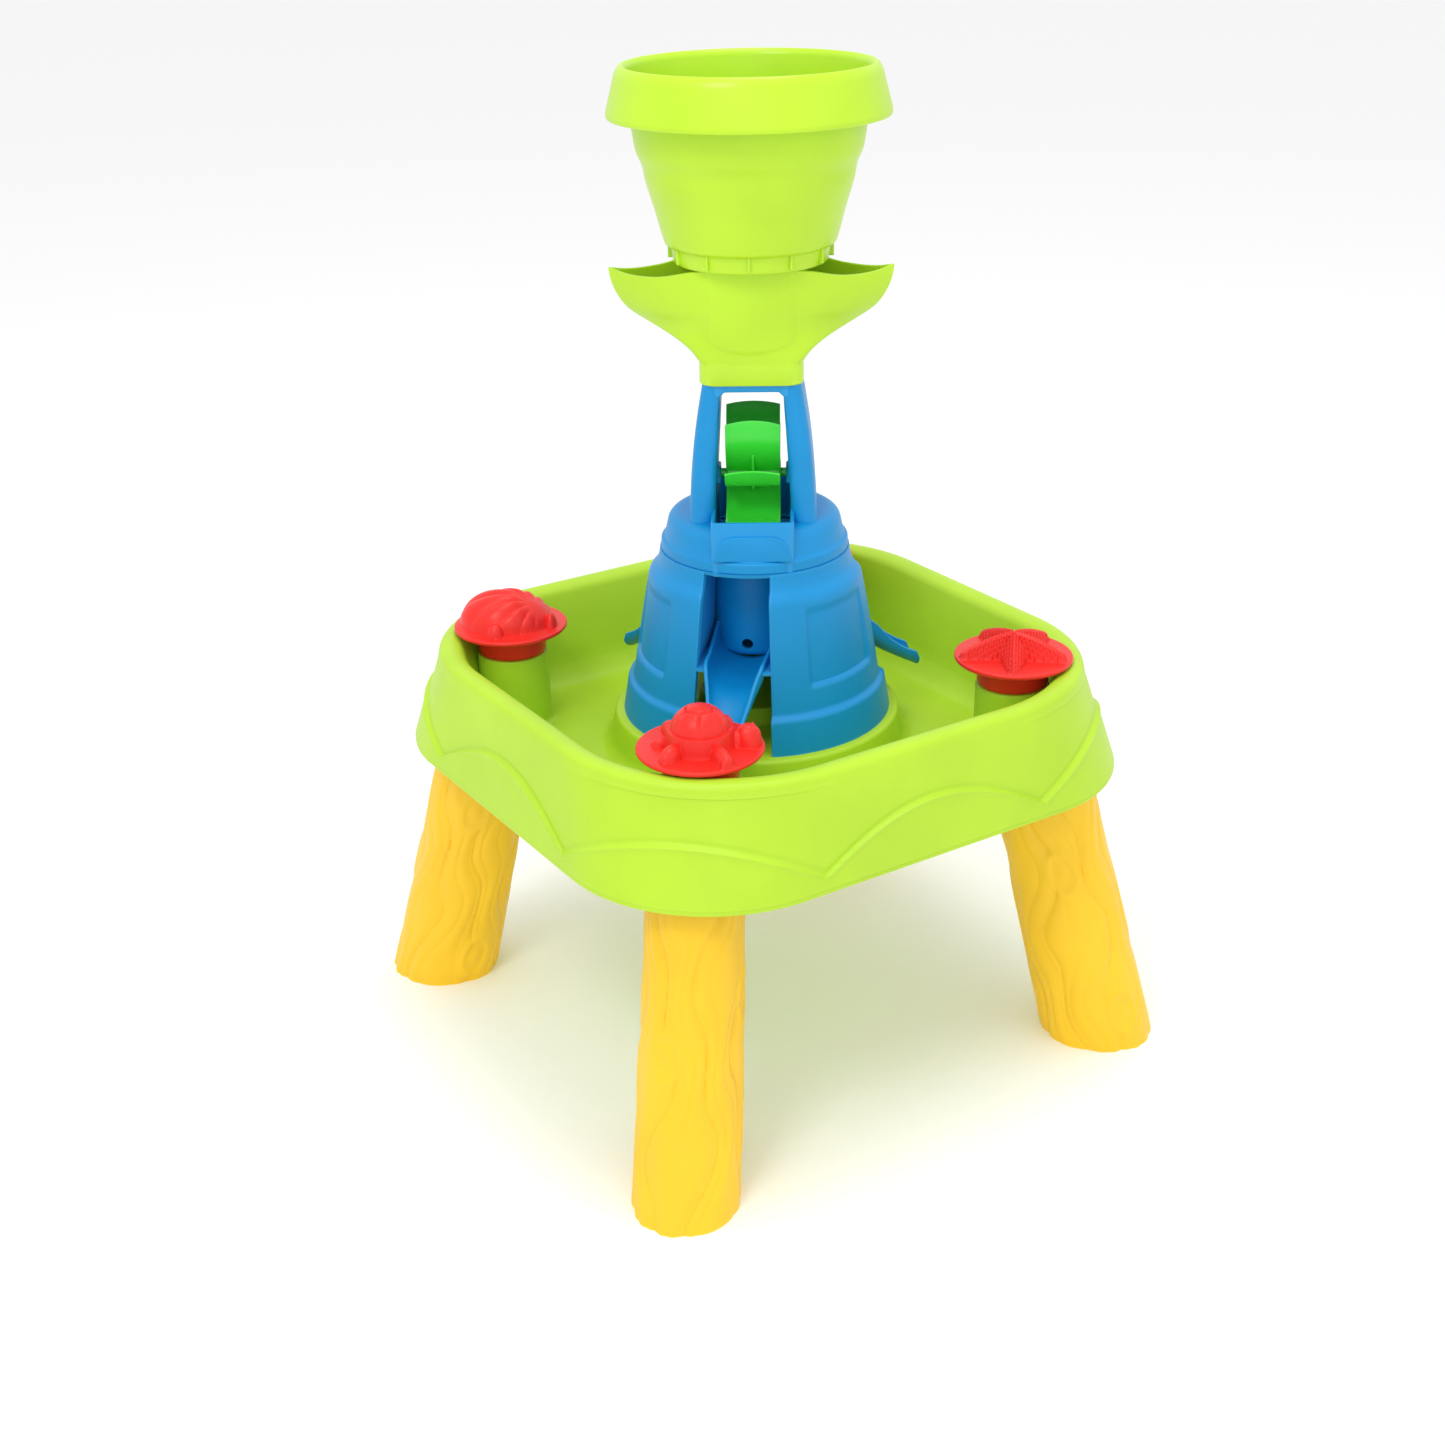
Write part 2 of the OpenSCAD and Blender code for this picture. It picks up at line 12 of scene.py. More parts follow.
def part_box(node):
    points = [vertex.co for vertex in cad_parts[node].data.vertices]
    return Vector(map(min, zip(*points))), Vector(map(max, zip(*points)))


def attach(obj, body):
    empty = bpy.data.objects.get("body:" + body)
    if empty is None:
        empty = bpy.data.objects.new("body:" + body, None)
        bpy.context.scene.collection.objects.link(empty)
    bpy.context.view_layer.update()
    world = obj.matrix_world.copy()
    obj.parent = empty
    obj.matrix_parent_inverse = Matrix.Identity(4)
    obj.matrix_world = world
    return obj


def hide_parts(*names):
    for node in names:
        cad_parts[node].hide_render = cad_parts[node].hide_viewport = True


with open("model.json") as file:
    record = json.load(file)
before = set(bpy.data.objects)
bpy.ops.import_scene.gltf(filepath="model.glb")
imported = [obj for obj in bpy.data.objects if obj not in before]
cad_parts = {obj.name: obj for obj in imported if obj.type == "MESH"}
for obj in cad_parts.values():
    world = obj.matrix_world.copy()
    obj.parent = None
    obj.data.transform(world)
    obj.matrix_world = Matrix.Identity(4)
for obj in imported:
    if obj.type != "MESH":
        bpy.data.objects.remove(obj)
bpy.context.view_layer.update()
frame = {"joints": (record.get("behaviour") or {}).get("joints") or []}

MM = 0.001


# ---------------------------------------------------------------- sizes, read from the frame

def low(node):
    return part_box(node)[0]


def high(node):
    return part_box(node)[1]


def middle(node):
    return (np.array(low(node)) + np.array(high(node))) / 2


def joint(name):
    return next(j for j in frame["joints"] if j["name"] == name)


TRAY_HALF = high("tray")[0]
RIM_Z = high("tray")[2]
SKIRT_Z = low("tray")[2]
CASTLE_Z = low("castle")[2]
CASTLE_TOP = high("castle")[2]
CASTLE_R = max(high("castle")[0], -low("castle")[0])
PLINTH_H = 26 * MM
FLOOR_Z = CASTLE_Z - PLINTH_H
POST_OUT = math.hypot(middle("cap_turtle")[0], middle("cap_turtle")[1])
POST_TOP = low("cap_turtle")[2]
SLOT_TURNS = [math.radians(a) for a in (-135, -15, 105)]
AXLE_Z = middle("wheel_axle")[2]
TOWER_TURN = math.atan2(joint("wheel_spin")["axis"][1], joint("wheel_spin")["axis"][0])
DOME_TOP = high("tower_cap")[2]
FRAME_TOP = low("funnel")[2]
SEAT_Z = high("funnel")[2]
BUCKET_TOP = high("bucket")[2]
BUCKET_R = high("bucket")[0]
BUCKET_SPIGOT = 8 * MM
BUCKET_FLOOR = low("bucket")[2] + BUCKET_SPIGOT
TANK_R = 30 * MM
TANK_FLOOR = low("core_tank")[2]

# The photo shows the dome's flange higher and narrower than the CAD has it.
DOME_H = 26.4 * MM
FLANGE_SPARE = 4 * MM
FLANGE_Z = DOME_TOP - DOME_H
FLANGE_R = high("tower_cap")[0] - FLANGE_SPARE

# Water wheel, in mm: half its width, the radius its blades are bent to, and where a blade starts.
WHEEL_HALF = 18.2
BLADE_BEND = 36
BLADE_ROOT = 6
BLADE_COUNT = 8
BLADE_TURN = math.radians(59.5)

# Well of the wheel frame: half its length and width, in mm.
WELL_HALF = (27.5, 60)

# Edges that bend by more than this many degrees are shaded crisp.
CRISP = 38


# ---------------------------------------------------------------- curves and shells

def ease(x):
    """0 below 0, 1 above 1, smooth in between."""
    x = np.clip(x, 0, 1)
    return x * x * (3 - 2 * x)


def along(value, knots, results):
    """Smooth curve through the knots, at the given value or values."""
    knots = np.asarray(knots, float)
    results = np.asarray(results, float)
    slopes = np.gradient(results, knots)
    i = np.clip(np.searchsorted(knots, value) - 1, 0, len(knots) - 2)
    width = knots[i + 1] - knots[i]
    t = np.clip((value - knots[i]) / width, 0, 1)
    start = (1 + 2 * t) * (1 - t) ** 2 * results[i] + t * (1 - t) ** 2 * width * slopes[i]
    end = t * t * (3 - 2 * t) * results[i + 1] + t * t * (t - 1) * width * slopes[i + 1]
    return start + end


def softened(corners, steps=6):
    """Outline through (x, z, rounding) corners, in mm, each corner rounded; the result is in metres."""
    points = [np.array(c[:2], float) for c in corners]
    outline = [points[0]]
    for before, here, after, corner in zip(points, points[1:], points[2:], corners[1:]):
        back = before - here
        ahead = after - here
        reach = min(corner[2], 0.49 * np.linalg.norm(back), 0.49 * np.linalg.norm(ahead))
        if reach < 1e-6:
            outline.append(here)
            continue
        start = here + back / np.linalg.norm(back) * reach
        end = here + ahead / np.linalg.norm(ahead) * reach
        for t in np.linspace(0, 1, steps):
            outline.append((1 - t) ** 2 * start + 2 * t * (1 - t) * here + t * t * end)
    outline.append(points[-1])
    return np.array(outline) * MM


def finer(outline, spacing):
    """The same outline with extra points, so that no stretch is longer than the spacing."""
    points = [outline[0]]
    for a, b in zip(outline, outline[1:]):
        count = max(1, math.ceil(np.linalg.norm(b - a) / spacing))
        points += [a + (b - a) * k / count for k in range(1, count + 1)]
    return np.array(points)


def loft(rings, capped=True, looped=False):
    """Skin over closed rings of equal length. Returns (points, faces)."""
    rings = [np.asarray(r, float) for r in rings]
    n = len(rings[0])
    verts = np.vstack(rings)
    faces = []
    pairs = len(rings) if looped else len(rings) - 1
    for k in range(pairs):
        a = k * n
        b = ((k + 1) % len(rings)) * n
        faces += [(a + i, a + (i + 1) % n, b + (i + 1) % n, b + i) for i in range(n)]
    if capped and not looped:
        faces.append(tuple(range(n))[::-1])
        faces.append(tuple(range(len(verts) - n, len(verts))))
    return verts, faces


def lathe(outline, segments=160, centre=(0, 0)):
    """Turned skin from an outline of (radius, height) points."""
    turn = np.linspace(0, 2 * math.pi, segments, endpoint=False)
    rings = [
        np.stack([centre[0] + r * np.cos(turn), centre[1] + r * np.sin(turn), np.full(segments, z)], 1)
        for r, z in outline
    ]
    return loft(rings)


def loft_ring(outline, segments=160):
    """Turned ring, closed on itself, from an outline that doesn't reach the middle."""
    turn = np.linspace(0, 2 * math.pi, segments, endpoint=False)
    rings = [np.stack([r * np.cos(turn), r * np.sin(turn), np.full(segments, z)], 1) for r, z in outline]
    return loft(rings, looped=True)


def sheet_shell(outer, inner):
    """Closed shell between two grids of points of the same size. Returns (points, faces)."""
    rows, cols = outer.shape[:2]
    verts = np.vstack([outer.reshape(-1, 3), inner.reshape(-1, 3)])
    other = rows * cols
    faces = []
    for i in range(rows - 1):
        for j in range(cols - 1):
            a = i * cols + j
            quad = (a, a + 1, a + cols + 1, a + cols)
            faces.append(quad)
            faces.append(tuple(other + v for v in reversed(quad)))
    edge = list(range(cols))
    edge += [i * cols + cols - 1 for i in range(1, rows)]
    edge += [(rows - 1) * cols + j for j in range(cols - 2, -1, -1)]
    edge += [i * cols for i in range(rows - 2, 0, -1)]
    for a, b in zip(edge, edge[1:] + edge[:1]):
        faces.append((b, a, other + a, other + b))
    return verts, faces


def block(size, centre, edge=1.0 * MM):
    """Box with rounded upright edges and softened ends, sizes in metres."""
    count = 40
    turn = np.linspace(0, 2 * math.pi, count, endpoint=False)
    end = size[2] / 2
    rings = []
    for inset, z in ((edge, -end), (0, -end + edge), (0, end - edge), (edge, end)):
        hx = size[0] / 2 - inset
        hy = size[1] / 2 - inset
        reach = polar(hx, hy, min(2 * edge, hx, hy), turn)
        ring = np.stack([reach * np.cos(turn), reach * np.sin(turn), np.full(count, z)], 1)
        rings.append(ring + np.array(centre))
    return loft(rings)


def polar(hx, hy, r, turn):
    """Distance from the middle to a rounded rectangle's outline, at each angle."""
    c = np.abs(np.cos(turn)) + 1e-9
    s = np.abs(np.sin(turn)) + 1e-9
    reach = np.minimum(hx / c, hy / s)
    cx = hx - r
    cy = hy - r
    in_corner = (reach * c > cx) & (reach * s > cy)
    across = c * cx + s * cy
    inside = np.maximum(across**2 - (cx * cx + cy * cy - r * r), 0)
    return np.where(in_corner, across + np.sqrt(inside), reach)


def moved(part, turn=0.0, shift=(0, 0, 0)):
    """The part turned about Z, then shifted."""
    verts, faces = part
    c = math.cos(turn)
    s = math.sin(turn)
    rotation = np.array([[c, -s, 0], [s, c, 0], [0, 0, 1]])
    return verts @ rotation.T + np.array(shift), faces


def merged(parts):
    """Several parts as one list of points and one of faces."""
    verts = []
    faces = []
    count = 0
    for part_verts, part_faces in parts:
        verts.append(part_verts)
        faces += [tuple(v + count for v in face) for face in part_faces]
        count += len(part_verts)
    return np.vstack(verts), faces


def piece(node, part, material, body="table", sharp=CRISP):
    """Makes the fine mesh that stands for one CAD node."""
    verts, faces = part
    mesh = bpy.data.meshes.new(node + "_fine")
    mesh.from_pydata([tuple(v) for v in verts], [], faces)
    work = bmesh.new()
    work.from_mesh(mesh)
    bmesh.ops.remove_doubles(work, verts=work.verts, dist=1e-6)
    bmesh.ops.dissolve_degenerate(work, dist=1e-7, edges=work.edges)
    bmesh.ops.recalc_face_normals(work, faces=work.faces)
    work.to_mesh(mesh)
    work.free()
    mesh.shade_smooth()
    mesh.set_sharp_from_angle(angle=math.radians(sharp))
    mesh.materials.append(material)
    obj = bpy.data.objects.new(node + "_fine", mesh)
    bpy.context.scene.collection.objects.link(obj)
    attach(obj, body)
    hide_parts(node)
    return obj


def cut(obj, part):
    """Takes a closed part out of a piece."""
    mesh = bpy.data.meshes.new("cutter")
    mesh.from_pydata([tuple(v) for v in part[0]], [], part[1])
    work = bmesh.new()
    work.from_mesh(mesh)
    bmesh.ops.recalc_face_normals(work, faces=work.faces)
    work.to_mesh(mesh)
    work.free()
    cutter = bpy.data.objects.new("cutter", mesh)
    bpy.context.scene.collection.objects.link(cutter)
    step = obj.modifiers.new("cut", "BOOLEAN")
    step.operation = "DIFFERENCE"
    step.solver = "EXACT"
    step.object = cutter
    graph = bpy.context.evaluated_depsgraph_get()
    result = bpy.data.meshes.new_from_object(obj.evaluated_get(graph))
    obj.modifiers.remove(step)
    obj.data = result
    bpy.data.objects.remove(cutter)
    result.set_sharp_from_angle(angle=math.radians(CRISP))


# ---------------------------------------------------------------- materials

def linear(red, green, blue):
    """Linear colour from 0-255 display values."""
    values = [c / 255 for c in (red, green, blue)]
    return tuple(c / 12.92 if c <= 0.04045 else ((c + 0.055) / 1.055) ** 2.4 for c in values)


def plastic(name, colour, roughness, grain, coat=0.0):
    """Moulded plastic: fine grain, faint flow clouds, uneven gloss, and colour made lighter along sharp
    convex edges.
    """
    material = bpy.data.materials.new(name)
    material.use_nodes = True
    nodes = material.node_tree.nodes
    link = material.node_tree.links.new
    shader = nodes["Principled BSDF"]
    place = nodes.new("ShaderNodeTexCoord")

    clouds = nodes.new("ShaderNodeTexNoise")
    clouds.inputs["Scale"].default_value = 14
    clouds.inputs["Detail"].default_value = 4
    link(place.outputs["Object"], clouds.inputs["Vector"])
    tint = nodes.new("ShaderNodeValToRGB")
    tint.color_ramp.elements[0].position = 0.3
    tint.color_ramp.elements[1].position = 0.7
    tint.color_ramp.elements[0].color = (*[c * 0.94 for c in colour], 1)
    tint.color_ramp.elements[1].color = (*[min(c * 1.04, 1) for c in colour], 1)
    link(clouds.outputs["Fac"], tint.inputs["Fac"])

    # Base colour made lighter along sharp convex edges, driven by pointiness.
    shape = nodes.new("ShaderNodeNewGeometry")
    edges = nodes.new("ShaderNodeMapRange")
    edges.inputs["From Min"].default_value = 0.53
    edges.inputs["From Max"].default_value = 0.62
    edges.inputs["To Max"].default_value = 0.35
    link(shape.outputs["Pointiness"], edges.inputs["Value"])
    edge_lightening = nodes.new("ShaderNodeMix")
    edge_lightening.data_type = "RGBA"
    edge_lightening.inputs["B"].default_value = (*[min(c * 1.25 + 0.06, 1) for c in colour], 1)
    link(edges.outputs["Result"], edge_lightening.inputs["Factor"])
    link(tint.outputs["Color"], edge_lightening.inputs["A"])
    link(edge_lightening.outputs["Result"], shader.inputs["Base Color"])

    handling = nodes.new("ShaderNodeTexNoise")
    handling.inputs["Scale"].default_value = 45
    handling.inputs["Detail"].default_value = 6
    link(place.outputs["Object"], handling.inputs["Vector"])
    sheen = nodes.new("ShaderNodeMapRange")
    sheen.inputs["To Min"].default_value = roughness - 0.06
    sheen.inputs["To Max"].default_value = roughness + 0.08
    link(handling.outputs["Fac"], sheen.inputs["Value"])
    link(sheen.outputs["Result"], shader.inputs["Roughness"])

    texture = nodes.new("ShaderNodeTexNoise")
    texture.inputs["Scale"].default_value = 1400
    texture.inputs["Detail"].default_value = 3
    link(place.outputs["Object"], texture.inputs["Vector"])
    waves = nodes.new("ShaderNodeTexNoise")
    waves.inputs["Scale"].default_value = 30
    link(place.outputs["Object"], waves.inputs["Vector"])
    fine = nodes.new("ShaderNodeBump")
    fine.inputs["Strength"].default_value = grain
    fine.inputs["Distance"].default_value = 0.05 * MM
    link(texture.outputs["Fac"], fine.inputs["Height"])
    broad = nodes.new("ShaderNodeBump")
    broad.inputs["Strength"].default_value = 0.25
    broad.inputs["Distance"].default_value = 0.4 * MM
    link(waves.outputs["Fac"], broad.inputs["Height"])
    link(fine.outputs["Normal"], broad.inputs["Normal"])
    link(broad.outputs["Normal"], shader.inputs["Normal"])

    shader.inputs["Specular IOR Level"].default_value = 0.35
    shader.inputs["Coat Weight"].default_value = coat
    shader.inputs["Coat Roughness"].default_value = 0.2
    return material


TRAY_LIME = plastic("tray_lime_plastic", linear(176, 214, 46), 0.42, 0.5)
TOWER_LIME = plastic("tower_lime_plastic", linear(182, 222, 42), 0.34, 0.3, 0.1)
BLUE = plastic("tower_blue_plastic", linear(2, 140, 206), 0.42, 0.6)
GREEN = plastic("wheel_green_plastic", linear(58, 214, 56), 0.28, 0.2, 0.3)
YELLOW = plastic("leg_yellow_plastic", linear(244, 196, 34), 0.4, 0.4)
RED = plastic("cap_red_plastic", linear(228, 38, 30), 0.36, 0.4)


# ---------------------------------------------------------------- tray

def wave_height(turn):
    """Height of the embossed line round the skirt: an arch on every side and every corner."""
    low_mm = 13
    arch_mm = 29
    cusp = math.atan2(88, 208)
    quarter = (turn + math.pi / 4) % (math.pi / 2) - math.pi / 4
    on_side = np.abs(quarter) < cusp
    u = np.where(on_side, np.abs(quarter) / cusp, (math.pi / 4 - np.abs(quarter)) / (math.pi / 4 - cusp))
    return SKIRT_Z + (low_mm + arch_mm * (1 - u**2)) * MM


def tray_ring(turn, half, corner, z):
    """Level ring round the tray: half width and corner radius in mm."""
    reach = polar(half * MM, half * MM, min(corner, half) * MM, turn)
    return np.stack([reach * np.cos(turn), reach * np.sin(turn), np.full(len(turn), z)], 1)


def skirt_relief(turn, z):
    """How far the skirt's wall stands proud at a height: the wave, its lip and the groove over it."""
    line = wave_height(turn)
    proud = 2.0 * MM * ease((line - z) / (1.6 * MM))
    lip = 1.1 * MM * np.exp(-(((line - 1.6 * MM - z) / (1.5 * MM)) ** 2))
    groove = 0.5 * MM * np.exp(-(((line + 0.8 * MM - z) / (1.6 * MM)) ** 2))
    return proud + (lip - groove)


def post_part(angle):
    """Post in one corner of the basin, with the spigot that a mould cap sits on."""
    floor = FLOOR_Z / MM
    top = POST_TOP / MM
    outline = softened([
        (32, floor - 1, 0), (25.9, floor + 1.5, 5), (25.4, top - 0.4, 1.2), (21.6, top - 0.2, 0.6),
        (21.2, top + 13.4, 1), (0.5, top + 13.4, 0),
    ])
    return lathe(outline, 96, (POST_OUT * math.cos(angle), POST_OUT * math.sin(angle)))


def tray_part():
    """Tray as one skin, from under the plinth round the skirt and the rim to the middle, and its posts."""
    turn = np.linspace(0, 2 * math.pi, 900, endpoint=False)
    half = TRAY_HALF / MM
    skirt = SKIRT_Z / MM
    rim = RIM_Z / MM
    floor = FLOOR_Z / MM
    plinth = CASTLE_Z / MM
    foot = CASTLE_R / MM + 11.5
    rings = []

    # underside: half width, corner radius and height, from the middle out
    underside = [
        (1, 1, plinth + 9), (37, 37, plinth + 9), (37, 37, plinth - 3), (foot - 8, foot, plinth - 3),
        (foot - 3, foot, floor - 3), (half - 50, 83, floor - 3), (half - 38, 92, rim - 40),
        (half - 29, 105, rim - 6), (half - 16, 120, rim - 6), (half - 4, 102, skirt + 2),
        (half - 3, 102, skirt),
    ]
    for h, r, z in underside:
        rings.append(tray_ring(turn, h, min(r, h), z * MM))

    # skirt: a small bead along its foot, then the wall with the proud wave
    bead = [(half - 1.4, skirt), (half - 0.3, skirt + 0.8), (half, skirt + 2), (half - 0.3, skirt + 3.2)]
    for h, z in bead:
        rings.append(tray_ring(turn, h, 105, z * MM))
    top = rim - 9
    levels = 90
    for k in range(levels):
        t = k / (levels - 1)
        z = (skirt + 4.2 + (top - skirt - 4.2) * t) * MM
        ring = tray_ring(turn, half - 1.5 - 9.9 * t, 105 + 20 * t, z)
        relief = skirt_relief(turn, z)
        ring[:, 0] += np.cos(turn) * relief
        ring[:, 1] += np.sin(turn) * relief
        rings.append(ring)

    # rolled rim, inner wall, floor, plinth and its raised middle
    section = softened([
        (half - 11.4, top, 0), (half - 13.2, rim - 1.5, 7), (half - 20, rim, 6), (half - 29, rim - 2.5, 7),
        (half - 33, top - 6, 8), (half - 44, floor + 12, 20), (half - 54, floor, 14), (foot + 5, floor, 6),
        (foot - 1, floor + 5, 5), (foot - 5.5, plinth, 3), (42, plinth, 2), (40, plinth + 12, 1.5),
        (1, plinth + 12, 0),
    ], 9)
    inward = [11, 20, 33, 54, half - foot - 5, half]
    corners = [124, 116, 103, 80, foot + 5, 1]
    for h, z in finer(section, 6 * MM) / MM:
        corner = np.interp(half - h, inward, corners)
        rings.append(tray_ring(turn, h, min(corner, h), z * MM))
    posts = [post_part(math.pi / 4 + k * math.pi / 2) for k in range(4)]
    return merged([loft(rings)] + posts)


# ---------------------------------------------------------------- legs

def bark(turn, z, seed):
    """Relief of a leg in mm: ridges that wander down the trunk, and a few oval knots."""
    wander = 0.7 * np.sin(36 * z + 2 * turn + seed) + 0.45 * np.sin(81 * z - 3 * turn + 2.1 * seed)
    strands = np.abs(np.sin(3.5 * turn + wander + seed)) ** 0.5
    fibres = np.abs(np.sin(9.5 * turn + 2.5 * wander - 9 * z + 2 * seed)) ** 0.7
    relief = -3.0 + 2.0 * strands + 1.0 * fibres * strands
    for k in range(5):
        knot_turn = seed * 1.7 + 1.9 * k
        knot_z = 0.03 + 0.038 * k + 0.008 * math.sin(seed + 3 * k)
        across = (turn - knot_turn + math.pi) % (2 * math.pi) - math.pi
        q = np.sqrt((across / 0.28) ** 2 + ((z - knot_z) / 0.016) ** 2)
        flat = ease(q - 0.4)
        relief = relief * flat - 1.6 * (1 - flat)
        relief += 1.4 * np.exp(-(((q - 1.0) / 0.22) ** 2)) + 1.1 * np.exp(-((q / 0.35) ** 2))
    return np.minimum(relief, 0)


def leg_part(node, seed):
    """Hollow leaning leg with an oval section, in the corner where the frame has it."""
    wall_mm = 5.4
    foot_half = (41.25, 36.35)
    top_half = (36, 32)
    low_corner = np.array(low(node))
    high_corner = np.array(high(node))
    foot = np.where(np.abs(low_corner) > np.abs(high_corner), low_corner, high_corner)[:2]
    angle = math.atan2(foot[1], foot[0])
    foot_out = POST_OUT + 73 * MM
    top_out = POST_OUT + 19 * MM
    top_z = FLOOR_Z - 3.2 * MM
    turn = np.linspace(0, 2 * math.pi, 300, endpoint=False)
    rings = []
    inside = np.linspace(top_z - 3 * MM, 0, 30)
    outside = np.linspace(0, top_z, 150)
    for inset, heights in ((wall_mm, inside), (0, outside)):
        for z in heights:
            t = z / top_z
            out = foot_out + (top_out - foot_out) * t
            a = (foot_half[0] + (top_half[0] - foot_half[0]) * t - inset) * MM
            b = (foot_half[1] + (top_half[1] - foot_half[1]) * t - inset) * MM
            swell = np.zeros_like(turn) if inset else bark(turn, z, seed) * MM
            x = out + (a + swell) * np.cos(turn)
            y = (b + swell) * np.sin(turn)
            rings.append(np.stack([x, y, np.full_like(x, z)], 1))
    return moved(loft(rings), angle)


# ---------------------------------------------------------------- castle, tank and chutes

def slot_half(z):
    """Half width of a slot at a height."""
    return (28.5 - 6 * (z - CASTLE_Z) / (FLANGE_Z - CASTLE_Z)) * MM


def slot_walls(outline, slot_turn):
    """The two side walls of a slot, from the tank out to the castle's shell."""
    wall = 2.2 * MM
    root = 20 * MM
    parts = []
    for side in (-1, 1):
        rings = []
        for z in np.linspace(TANK_FLOOR + 9 * MM, FLANGE_Z - 0.4 * MM, 24):
            reach = np.interp(z, outline[:, 1], outline[:, 0]) - 1.2 * MM
            half = slot_half(z)
            out = math.sqrt(reach**2 - half**2)
            ring = [(root, half), (out, half), (out, half + wall), (root, half + wall)]
            rings.append(np.array([(x, side * y, z) for x, y in ring]))
        parts.append(moved(loft(rings), slot_turn))
    return parts


def castle_part():
    """Three curved walls with a sunk panel each, the walls of the slots between them, and the roof."""
    thick = 3.6 * MM
    r = CASTLE_R / MM
    foot = CASTLE_Z / MM
    top = FLANGE_Z / MM
    tall = top - foot
    outline = softened([
        (r, foot, 0), (0.958 * r, foot + 0.2 * tall, 3), (0.916 * r, foot + 0.215 * tall, 2),
        (0.85 * r, foot + 0.54 * tall, 12), (0.81 * r, foot + 0.72 * tall, 10),
        (0.775 * r, foot + 0.86 * tall, 5), (0.718 * r, foot + 0.905 * tall, 2),
        (0.7 * r, foot + 0.95 * tall, 1.2), (0.69 * r, top - 0.3, 0),
    ])
    outline = finer(outline, 1.6 * MM)
    columns = np.linspace(-1, 1, 110)
    parts = []
    for slot_turn in SLOT_TURNS:
        centre = slot_turn + math.pi / 3
        outer = []
        inner = []
        for reach, z in outline:
            span = math.pi / 3 - math.asin(slot_half(z) / reach)
            angles = columns * span
            level = (z / MM - foot) / tall
            in_height = ease((level - 0.355) / 0.018) * ease((0.82 - level) / 0.06)
            in_width = ease((math.radians(23) - np.abs(angles)) / math.radians(2.2))
            depth = (2.6 - 3.2 * (level - 0.36)) * MM * in_height * in_width
            edge = 0.5 * MM * (np.abs(columns) > 0.999)
            face = reach - depth - edge
            back = np.full_like(face, reach - thick)
            for rows, radius in ((outer, face), (inner, back)):
                rows.append(np.stack([
                    radius * np.cos(centre + angles), radius * np.sin(centre + angles),
                    np.full_like(radius, z),
                ], 1))
        parts.append(sheet_shell(np.array(outer), np.array(inner)))
        parts += slot_walls(outline, slot_turn)
    hole = TANK_R / MM + 0.2
    roof = [(hole, top - 2.5, 0), (0.68 * r, top - 2.5, 0), (0.69 * r, top, 0), (hole, top, 0)]
    parts.append(loft_ring(softened(roof)))
    return merged(parts)


def tank_outline(inset):
    """Round-bottomed outline of the tank in mm, moved in by the inset."""
    r = TANK_R / MM - inset
    bottom = TANK_FLOOR / MM + inset
    return [(0.5, bottom, 0), (r - 1, bottom, 9), (r, bottom + 11, 6)]


def make_tank():
    """Open tank with a flange at its top, and one outlet hole for each slot."""
    wall = 2.5
    top = FLANGE_Z / MM - 4
    r = TANK_R / MM
    outline = tank_outline(0)
    outline += [(r, top, 0), (r + 6, top, 0), (r + 6, top + 2, 0.5), (r - wall, top + 2, 0.5)]
    outline += reversed(tank_outline(wall))
    tank = piece("core_tank", lathe(softened(outline, 8), 192), BLUE)
    hole_z = TANK_FLOOR + 9.5 * MM
    for slot_turn in SLOT_TURNS:
        bore = lathe(np.array([(0.2, 0), (4, 0), (4, 30), (0.2, 30)]) * MM, 48)
        across = np.stack([bore[0][:, 2] + 15 * MM, bore[0][:, 0], bore[0][:, 1] + hole_z], 1)
        cut(tank, moved((across, bore[1]), slot_turn))


def chute_ring(out, half, top, bottom, wall):
    """Closed U-shaped section across a chute, in mm."""
    sweep = np.linspace(math.pi, 2 * math.pi, 33)
    ring = []
    for w, b, order in ((half, bottom, 1), (half - wall, bottom + wall, -1)):
        depth = min(0.8 * w, top - b - 1)
        side = [(w * math.cos(a), b + depth * (1 + math.sin(a))) for a in sweep]
        side = [(-w, top - 0.6)] + side + [(w, top - 0.6)]
        if order < 0:
            side = side[::-1]
        ring += side
        if order > 0:
            ring += [(half - wall * 0.3, top), (half - wall * 0.7, top)]
    ring += [(-half + wall * 0.7, top), (-half + wall * 0.3, top)]
    return np.array([(out, y, z) for y, z in ring]) * MM


def chute_part(angle):
    """Narrowing chute that bends down over the plinth, with a web on each side inside its slot."""
    floor = TANK_FLOOR / MM
    foot = CASTLE_Z / MM
    root = 22
    tip = 121
    places = np.concatenate([
        np.linspace(root, 80, 30), np.linspace(81, tip - 3, 46), np.linspace(tip - 2.5, tip, 7),
    ])
    knots = [root, 60, 80, 87, 94, 106, tip]
    halves = along(places, knots, [23, 21, 19.6, 17.6, 15.6, 12.8, 11.2])
    tops = along(places, knots, [floor + 22.5, floor + 15.5, floor + 11.5, floor + 5, floor - 3.5,
        floor - 14, foot + 24.5])
    tops = tops - 3.5 * ease((places - tip + 3) / 3) ** 2
    bottoms = along(places, knots, [floor - 5, floor - 8, floor - 11, floor - 14.5, floor - 19,
        floor - 26, foot + 12.5])
    rings = [chute_ring(x, h, t, b, 2.3) for x, h, t, b in zip(places, halves, tops, bottoms)]
    parts = [loft(rings)]
    web_z = (floor + 9.5) * MM
    for side in (-1, 1):
        web = []
        for z in (web_z - 2 * MM, web_z):
            corners = [(32, 20), (79, 18.5), (77.5, slot_half(z) / MM + 0.2), (32, slot_half(z) / MM + 0.2)]
            web.append(np.array([(x * MM, side * y * MM, z) for x, y in corners]))
        parts.append(loft(web))
    return moved(merged(parts), angle)


# ---------------------------------------------------------------- dome and wheel frame

